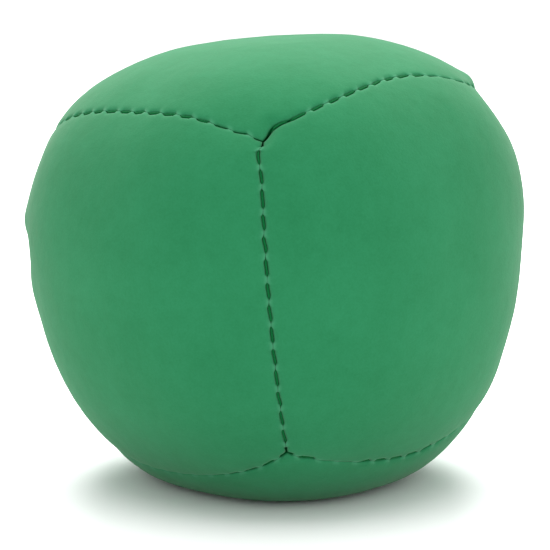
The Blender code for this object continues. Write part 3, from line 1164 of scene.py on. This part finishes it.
@dataclass(frozen=True)
class HandClosing:
    """The last seam's hand-sewn end: slanting whipstitches, finished with a knot and a tail."""

    seam: Seam
    thread: Thread = Thread(radius=0.19 * MM, cuts=12, turns=1.3)
    knot_thread: Thread = Thread(radius=0.16 * MM, cuts=96, turns=14)
    bite: float = 0.85 * MM  # how far from the seam each stitch goes into a panel
    slant: float = 0.9 * MM
    rise: float = 0.10 * MM  # how far a stitch's middle line stands out of the groove
    bury: float = 0.55 * MM  # how far under the cloth its ends are
    drawn_width: float = 2.2 * MM  # from the seam's line, over which it draws the cloth in
    knot_size: float = 0.30 * MM
    knot_lift: float = 0.12 * MM
    knot_opening: float = 0.35  # radians left out of the knot's curve, at each of its ends
    tail: float = 2.4 * MM
    tail_share: float = 0.14  # of the knot's thread
    tail_fall: float = 0.25  # how steeply the tail falls back to the cloth
    root: float = 1.2 * MM  # how deep in the seam the knot's other end is
    root_share: float = 0.10

    def build_stitches(self) -> bpy.types.Object:
        """Model one whipstitch and copy it along the closed part of the seam."""
        template = self.thread.straight()
        sewing, stitches = self.seam.sewing, []
        across = np.linspace(-1, 1, self.thread.cuts + 1)
        for hole in self.seam.hand_holes:
            points, normals, towards = self.seam.frame(hole + across * self.slant / 2)
            under = sewing.sink * np.exp(-(across * self.bite / self.drawn_width) ** 2)
            arch = self.rise - (self.rise + self.bury) * np.abs(across) ** 3
            path = points + towards * (across * self.bite)[:, None]
            path += normals * (arch - under)[:, None]
            stitches.append(self.thread.laid(template, self.seam.shape.nudged(path), normals))
        bpy.data.objects.remove(template)
        return joined(stitches, "closing_stitch")

    def build_knot(self) -> bpy.types.Object:
        """Tie an overhand knot, with one end in the seam and the other a short tail."""
        template = self.knot_thread.straight()
        station = np.array([self.seam.length - self.seam.sewing.corner_gap * 0.5])
        points, normals, towards = self.seam.frame(station)
        normal, side = normals[0], towards[0]
        ahead = np.cross(normal, side)
        middle = points[0] + normal * self.knot_lift
        cuts = self.knot_thread.cuts + 1
        turn = np.linspace(self.knot_opening, 2 * math.pi - self.knot_opening, cuts)
        loops = np.stack([
            np.sin(turn) + 2 * np.sin(2 * turn),
            np.cos(turn) - 2 * np.cos(2 * turn),
            -np.sin(3 * turn)], axis=-1) * self.knot_size
        along = np.linspace(0, 1, cuts)
        loose = smoothstep((along - 1 + self.tail_share) / self.tail_share) * self.tail
        buried = smoothstep((self.root_share - along) / self.root_share) * self.root
        path = (middle + side * (loops[:, :1] + loose[:, None])
                + ahead * loops[:, 1:2] + normal * (loops[:, 2:] - buried[:, None]
                                                    - self.tail_fall * loose[:, None]))
        knot = self.knot_thread.laid(
            template, self.seam.shape.nudged(path), np.repeat(normals, cuts, axis=0))
        bpy.data.objects.remove(template)
        return joined([knot], "closing_knot")

    def dress(self, stitches: bpy.types.Object, knot: bpy.types.Object,
              thread: bpy.types.Material) -> None:
        """Give both pieces their finish and their body."""
        for piece, node in ((stitches, "closing_stitch"), (knot, "closing_knot")):
            piece.data.materials.clear()
            piece.data.materials.append(thread)
            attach(piece, BODY)
            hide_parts(node)


@dataclass(frozen=True)
class MilletFilling:
    """The grain: a layer of separate grains under the cloth, round a core of the rest."""

    bag: SwelledBag
    grain: float = 1.0 * MM  # a grain's radius
    spacing: float = 2.12 * MM
    cloth: float = 0.55 * MM
    gap: float = 0.12 * MM
    clear_of_seam: float = 1.9 * MM
    half_arc: float = 24.6 * MM
    core_cells: int = 24
    core_depth: float = 2.3 * MM
    core_depth_at_seam: float = 4.6 * MM
    core_ease: float = 2.5 * MM  # from a seam, over which the core comes nearer to the cloth
    stray: float = 0.12  # how far grains lie from even rows, as a share of their spacing
    sizes: tuple[float, float] = (0.86, 1.0)  # the smallest and the largest grain
    depths: tuple[float, float] = (1.02, 1.25)  # of their middles below the cloth, in grains
    share: float = 0.93  # of the bag's inside that is full

    name: str = "seed_filling"

    def build(self) -> bpy.types.Object:
        """Model one grain, copy it all over the core, and join them."""
        grain = self._one_grain()
        shape = vertex_places(grain.data)
        stray = np.random.default_rng(7)
        copies = [self._core()]
        limit = 1 - self.clear_of_seam / self.half_arc
        count = int(2 * self.half_arc * limit / self.spacing)
        lines = np.linspace(-limit, limit, count + 1)
        for face in FACES:
            across, up = (part.ravel() for part in np.meshgrid(lines, lines))
            step = lines[1] - lines[0]
            low, high = -self.stray, self.stray
            across = np.clip(across + stray.uniform(low, high, across.shape) * step, -1, 1)
            up = np.clip(up + stray.uniform(low, high, up.shape) * step, -1, 1)
            directions = face.directions(across, up)
            skin = self.bag.shape.skin(directions) + self.bag.shift_at(face, across, up)
            depth = self.cloth + self.gap + self.grain * stray.uniform(*self.depths, across.shape)
            middles = skin - self.bag.shape.normals(directions) * depth[:, None]
            middles = self.bag.shape.nudged(middles)
            middles[:, 2] = np.maximum(middles[:, 2], self.cloth + self.gap + self.grain)
            size = stray.uniform(*self.sizes, across.shape)
            for middle, scale in zip(middles, size):
                copy = bpy.data.objects.new(grain.name, grain.data.copy())
                bpy.context.scene.collection.objects.link(copy)
                move_vertices(copy.data, shape * scale + middle)
                copies.append(copy)
        bpy.data.objects.remove(grain)
        return joined(copies, self.name)

    def _one_grain(self) -> bpy.types.Object:
        """Add one millet grain, a round seed slightly flattened at its scar."""
        deselect_all()
        bpy.ops.mesh.primitive_ico_sphere_add(subdivisions=1, radius=self.grain)
        grain = bpy.context.object
        bpy.ops.object.mode_set(mode="EDIT")
        bpy.ops.mesh.select_all(action="SELECT")
        bpy.ops.transform.resize(value=(1.0, 0.96, 0.88))
        bpy.ops.object.mode_set(mode="OBJECT")
        grain.name = "millet_grain"
        return grain

    def _core(self) -> bpy.types.Object:
        """Shape the core, which stands for the grain too deep to reach the cloth."""
        deselect_all()
        bpy.ops.mesh.primitive_cube_add(size=2)
        core = bpy.context.object
        bpy.ops.object.mode_set(mode="EDIT")
        bpy.ops.mesh.select_all(action="SELECT")
        bpy.ops.mesh.subdivide(number_cuts=self.core_cells - 1)
        bpy.ops.object.mode_set(mode="OBJECT")
        cube = vertex_places(core.data)
        directions = np.tan(cube * math.pi / 4)
        inset = (1 - np.sort(np.abs(cube), axis=1)[:, 1]) * self.half_arc
        depth = self.core_depth + (self.core_depth_at_seam - self.core_depth) * np.exp(
            -(inset / self.core_ease) ** 2)
        places = self.bag.shape.skin(directions)
        places -= self.bag.shape.normals(directions) * depth[:, None]
        places[:, 2] = np.maximum(places[:, 2], self.core_depth)
        move_vertices(core.data, self.bag.shape.nudged(places))
        return core

    def dress(self, piece: bpy.types.Object, millet: bpy.types.Material) -> None:
        """Give the filling its finish and its body."""
        piece.data.materials.clear()
        piece.data.materials.append(millet)
        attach(piece, BODY)
        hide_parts(self.name)


@dataclass(frozen=True)
class BrushedSuede:
    """Brushed microfibre suede: a polyester knit sanded to a short, dense nap.

    The nap scatters light, so the face is matte, and it catches light edge-on, so the ball's
    outline and the folds beside its seams look paler and greyer than its middle. The folds are
    also painted paler, a painted highlight where they catch light, and the open slits are painted
    darker, a painted shade.
    """

    body: str = "#1f7248"
    light: str = "#287b52"
    dark: str = "#19683f"
    fold: str = "#458b68"  # painted highlight on the folds beside the seams, palest at the needle holes, where the pinched cloth catches light
    slit_shade_colour: str = "#0a5f32"  # painted shade in the open slits between the panels, a darker green where their walls shade them
    nap: float = 0.28 * MM  # the nap's fibres are finer than can show, so their clumps are drawn
    brush: float = 1.6 * MM  # patches where the nap lies one way
    cloud: float = 9.0 * MM
    highlight_share: float = 0.5  # how far the painted highlight turns the colour to that of the fold at a needle hole
    roughness: float = 0.92
    specular: float = 0.1
    sheen: float = 0.115
    sheen_roughness: float = 0.5
    sheen_tint: str = "#fffff4"

    def material(self) -> bpy.types.Material:
        """Build the material."""
        material, tree = empty_material("brushed_microfibre_suede")
        place = add_node(tree, "ShaderNodeTexCoord").outputs["Object"]
        nap = add_node(tree, "ShaderNodeTexNoise", {
            "Scale": 1 / self.nap, "Detail": 3.0, "Roughness": 0.6}, {"Vector": place})
        brush = add_node(tree, "ShaderNodeTexNoise", {
            "Scale": 1 / self.brush, "Detail": 4.0, "Roughness": 0.65}, {"Vector": place})
        cloud = add_node(tree, "ShaderNodeTexNoise", {
            "Scale": 1 / self.cloud, "Detail": 2.0, "Roughness": 0.5}, {"Vector": place})
        mottled = add_node(tree, "ShaderNodeMath", {"operation": "ADD"})
        tree.links.new(nap.outputs["Fac"], mottled.inputs[0])
        tree.links.new(brush.outputs["Fac"], mottled.inputs[1])
        clouded = add_node(tree, "ShaderNodeMath", {"operation": "ADD"})
        tree.links.new(mottled.outputs[0], clouded.inputs[0])
        tree.links.new(cloud.outputs["Fac"], clouded.inputs[1])
        lightness = add_node(tree, "ShaderNodeMapRange", {
            "From Min": 1.05, "From Max": 1.95}, {"Value": clouded.outputs[0]})
        shade = add_node(tree, "ShaderNodeMixRGB", {
            "Color1": linear(self.dark), "Color2": linear(self.light)},
            {"Fac": lightness.outputs["Result"]})
        body = add_node(tree, "ShaderNodeMixRGB", {
            "Fac": 0.5, "Color2": linear(self.body)}, {"Color1": shade.outputs["Color"]})
        # Painted highlight on the folds beside the seams, where they catch light.
        fold = add_node(tree, "ShaderNodeAttribute", {"attribute_name": "fold"})
        fold_highlight = add_node(tree, "ShaderNodeMapRange", {
            "From Min": 0.0, "From Max": 1.0, "To Max": self.highlight_share}, {"Value": fold.outputs["Fac"]})
        shown = add_node(tree, "ShaderNodeMixRGB", {"Color2": linear(self.fold)}, {
            "Fac": fold_highlight.outputs["Result"], "Color1": body.outputs["Color"]})
        # Painted shade deep in the open slits.
        hidden = add_node(tree, "ShaderNodeAttribute", {"attribute_name": "hidden"})
        colour = add_node(tree, "ShaderNodeMixRGB", {"Color2": linear(self.slit_shade_colour)}, {
            "Fac": hidden.outputs["Fac"], "Color1": shown.outputs["Color"]})
        bump = add_node(tree, "ShaderNodeBump", {
            "Strength": 0.35, "Distance": 0.06 * MM}, {"Height": mottled.outputs[0]})
        shader = add_node(tree, "ShaderNodeBsdfPrincipled", {
            "Roughness": self.roughness,
            "Specular IOR Level": self.specular,
            "Sheen Weight": self.sheen,
            "Sheen Roughness": self.sheen_roughness,
            "Sheen Tint": linear(self.sheen_tint),
        }, {"Base Color": colour.outputs["Color"], "Normal": bump.outputs["Normal"]})
        add_node(tree, "ShaderNodeOutputMaterial", links={"Surface": shader.outputs["BSDF"]})
        return material


@dataclass(frozen=True)
class UnbrushedSuedeInPaintedShade:
    """The same suede inside the seams and on its wrong side, where it was never brushed.

    It has no nap to catch the light, so it has no pale sheen; its darker green is painted shade,
    for the shade in the slits between the panels.
    """

    # Painted shade: a dark, saturated green for the shaded slits.
    body: str = "#085a2e"
    pile: float = 0.3 * MM
    roughness: float = 0.95

    def material(self) -> bpy.types.Material:
        """Build the material."""
        material, tree = empty_material("unbrushed_suede_in_painted_shade")
        place = add_node(tree, "ShaderNodeTexCoord").outputs["Object"]
        pile = add_node(tree, "ShaderNodeTexNoise", {
            "Scale": 1 / self.pile, "Detail": 2.0}, {"Vector": place})
        bump = add_node(tree, "ShaderNodeBump", {
            "Strength": 0.3, "Distance": 0.04 * MM}, {"Height": pile.outputs["Fac"]})
        shader = add_node(tree, "ShaderNodeBsdfPrincipled", {
            "Base Color": linear(self.body),
            "Roughness": self.roughness,
            "Specular IOR Level": 0.0,
        }, {"Normal": bump.outputs["Normal"]})
        add_node(tree, "ShaderNodeOutputMaterial", links={"Surface": shader.outputs["BSDF"]})
        return material


@dataclass(frozen=True)
class SpunThread:
    """Spun polyester sewing thread: three twisted plies, slightly hairy, with a dull lustre."""

    name: str = "spun_polyester_thread"
    # The thread's own green, darkened further as painted shade for the slits that the seam
    # stitches lie in.
    body: str = "#0a6030"
    shade: str = "#065229"
    fibre: float = 0.12 * MM
    roughness: float = 0.8
    sheen: float = 0.02

    def material(self) -> bpy.types.Material:
        """Build the material."""
        material, tree = empty_material(self.name)
        place = add_node(tree, "ShaderNodeTexCoord").outputs["Object"]
        fibre = add_node(tree, "ShaderNodeTexNoise", {
            "Scale": 1 / self.fibre, "Detail": 2.0}, {"Vector": place})
        colour = add_node(tree, "ShaderNodeMixRGB", {
            "Color1": linear(self.shade), "Color2": linear(self.body)},
            {"Fac": fibre.outputs["Fac"]})
        bump = add_node(tree, "ShaderNodeBump", {
            "Strength": 0.4, "Distance": 0.03 * MM}, {"Height": fibre.outputs["Fac"]})
        shader = add_node(tree, "ShaderNodeBsdfPrincipled", {
            "Roughness": self.roughness,
            "Specular IOR Level": 0.05,
            "Sheen Weight": self.sheen,
            "Sheen Roughness": 0.5,
        }, {"Base Color": colour.outputs["Color"], "Normal": bump.outputs["Normal"]})
        add_node(tree, "ShaderNodeOutputMaterial", links={"Surface": shader.outputs["BSDF"]})
        return material


@dataclass(frozen=True)
class MilletHusk:
    """Millet in its husk: straw yellow, smooth, with a dull shine."""

    pale: str = "#d8b877"
    deep: str = "#b98d45"
    grain: float = 1.3 * MM
    roughness: float = 0.45

    def material(self) -> bpy.types.Material:
        """Build the material."""
        material, tree = empty_material("millet_husk")
        place = add_node(tree, "ShaderNodeTexCoord").outputs["Object"]
        tone = add_node(tree, "ShaderNodeTexNoise", {
            "Scale": 1 / self.grain, "Detail": 1.0}, {"Vector": place})
        colour = add_node(tree, "ShaderNodeMixRGB", {
            "Color1": linear(self.deep), "Color2": linear(self.pale)},
            {"Fac": tone.outputs["Fac"]})
        shader = add_node(tree, "ShaderNodeBsdfPrincipled", {
            "Roughness": self.roughness}, {"Base Color": colour.outputs["Color"]})
        add_node(tree, "ShaderNodeOutputMaterial", links={"Surface": shader.outputs["BSDF"]})
        return material


@dataclass(frozen=True)
class Studio:
    """A pale sweep, four soft boxes, and the camera. Lengths are in metres, unless said."""

    shape: FilledShape
    elevation: float = 0.150  # radians above level
    distance: float = 9.0  # in half widths, from the ball's middle
    lens: float = 135.6
    aim_drop: float = 0.0023  # the camera aims this far under the ball's middle, in half widths
    paper: str = "#f8f8f8"
    sweep_radius: float = 1.6
    bend: float = 0.5  # the bend's radius, as a share of the floor's
    bend_steps: int = 10
    overhead_watts: float = 5.2
    rear_watts: float = 8.6
    side_watts: float = 1.0
    backdrop_watts: float = 4.0
    surround: float = 0.91

    def build(self) -> None:
        """Set up the sweep, the lights and the camera."""
        self._sweep()
        ball, backdrop = Vector((0, 0, 0.03)), Vector((0, 1.9, 0.05))
        for name, place, size, watts, target in (
            ("overhead_soft_box", Vector((0, 0.05, 0.75)), 0.7, self.overhead_watts, ball),
            ("rear_soft_box", Vector((0, 0.55, 0.65)), 0.6, self.rear_watts, ball),
            ("side_soft_box", Vector((0.8, -0.5, 0.5)), 0.6, self.side_watts, ball),
            ("backdrop_soft_box", Vector((0, 1.0, 0.8)), 0.6, self.backdrop_watts, backdrop),
        ):
            self._soft_box(name, place, size, watts, target)
        world = bpy.data.worlds.new("white_surround")
        world.use_nodes = True
        background = world.node_tree.nodes["Background"]
        background.inputs["Color"].default_value = (1, 1, 1, 1)
        background.inputs["Strength"].default_value = self.surround
        bpy.context.scene.world = world
        bpy.context.scene.view_settings.view_transform = "Standard"
        self._camera()

    def _sweep(self) -> None:
        """Make the paper floor, a disc whose rim curves up all round."""
        deselect_all()
        bpy.ops.mesh.primitive_circle_add(
            vertices=96, radius=self.sweep_radius, fill_type="NGON", location=(0, 0, 0))
        floor = bpy.context.object
        floor.name = "paper_sweep"
        bpy.ops.object.mode_set(mode="EDIT")
        bpy.ops.mesh.select_mode(type="EDGE")
        bpy.ops.mesh.select_all(action="DESELECT")
        bpy.ops.mesh.select_non_manifold()
        spread, height = 1.0, 0.0
        for step in range(1, self.bend_steps + 1):
            bend = math.radians(90) * step / self.bend_steps
            size = 1 + self.bend * math.sin(bend)
            rise = self.sweep_radius * self.bend * (1 - math.cos(bend))
            bpy.ops.mesh.extrude_region_move()
            bpy.ops.transform.translate(value=(0, 0, rise - height))
            bpy.ops.transform.resize(
                value=(size / spread, size / spread, 1), center_override=(0, 0, 0))
            spread, height = size, rise
        bpy.ops.mesh.delete(type="ONLY_FACE")
        bpy.ops.object.mode_set(mode="OBJECT")
        bpy.ops.object.shade_smooth_by_angle(angle=math.radians(30))
        material, tree = empty_material("seamless_background_paper")
        shader = add_node(tree, "ShaderNodeBsdfPrincipled", {
            "Base Color": linear(self.paper), "Roughness": 0.9, "Specular IOR Level": 0.1})
        add_node(tree, "ShaderNodeOutputMaterial", links={"Surface": shader.outputs["BSDF"]})
        floor.data.materials.append(material)

    def _soft_box(self, name: str, place: Vector, size: float, watts: float,
                  target: Vector) -> None:
        """Hang one square soft box.

        Args:
            name: Its name.
            place: Where it hangs.
            size: The length of its sides.
            watts: Its power.
            target: The point that it faces.
        """
        light = bpy.data.lights.new(name, "AREA")
        light.shape = "SQUARE"
        light.size = size
        light.energy = watts
        lamp = bpy.data.objects.new(name, light)
        lamp.location = place
        lamp.rotation_euler = (target - place).to_track_quat("-Z", "Y").to_euler()
        bpy.context.scene.collection.objects.link(lamp)

    def _camera(self) -> None:
        """Stand the camera in front of the ball, a little above its middle."""
        unit = self.shape.half_width
        middle = Vector(self.shape.offset) + Vector((0, 0, self.shape.base_drop * unit))
        away = Vector((0, -math.cos(self.elevation), math.sin(self.elevation)))
        upward = Vector((0, math.sin(self.elevation), math.cos(self.elevation)))
        place = middle + away * self.distance * unit
        aim = middle - upward * self.aim_drop * unit
        data = bpy.data.cameras.new("camera")
        data.sensor_width = 36
        data.lens = self.lens
        data.clip_start = 0.01
        camera = bpy.data.objects.new("camera", data)
        camera.location = place
        camera.rotation_euler = (aim - place).to_track_quat("-Z", "Y").to_euler()
        bpy.context.scene.collection.objects.link(camera)
        bpy.context.scene.camera = camera


def report_piece(piece: bpy.types.Object) -> None:
    """Log a finished piece's name and its number of faces."""
    log.info("%s: %d faces", piece.name, len(piece.data.polygons))


def main() -> None:
    """Build the ball's pieces and the studio round them."""
    logging.basicConfig(level=logging.INFO, format="%(message)s")
    shape, sewing = FilledShape(), Sewing()
    seams = all_seams(shape, sewing)
    bag = SwelledBag(shape, sewing)
    bag.simulate()

    suede, unbrushed_in_painted_shade = BrushedSuede().material(), UnbrushedSuedeInPaintedShade().material()
    thread = SpunThread().material()
    for face in FACES:
        panel = Panel(face, tuple(panel_edges(face, seams)), bag)
        piece = panel.build()
        panel.dress(piece, suede, unbrushed_in_painted_shade)
        report_piece(piece)
    for seam in seams.values():
        sewn = SeamThread(seam)
        piece = sewn.build()
        sewn.dress(piece, thread)
        report_piece(piece)

    closing = HandClosing(next(seam for seam in seams.values() if seam.closed_by_hand))
    stitches, knot = closing.build_stitches(), closing.build_knot()
    closing.dress(stitches, knot, SpunThread("doubled_hand_sewing_thread", "#176b3e").material())
    report_piece(stitches)
    report_piece(knot)

    filling = MilletFilling(bag)
    grain = filling.build()
    filling.dress(grain, MilletHusk().material())
    report_piece(grain)

    Studio(shape).build()


if __name__ == "__main__":
    main()
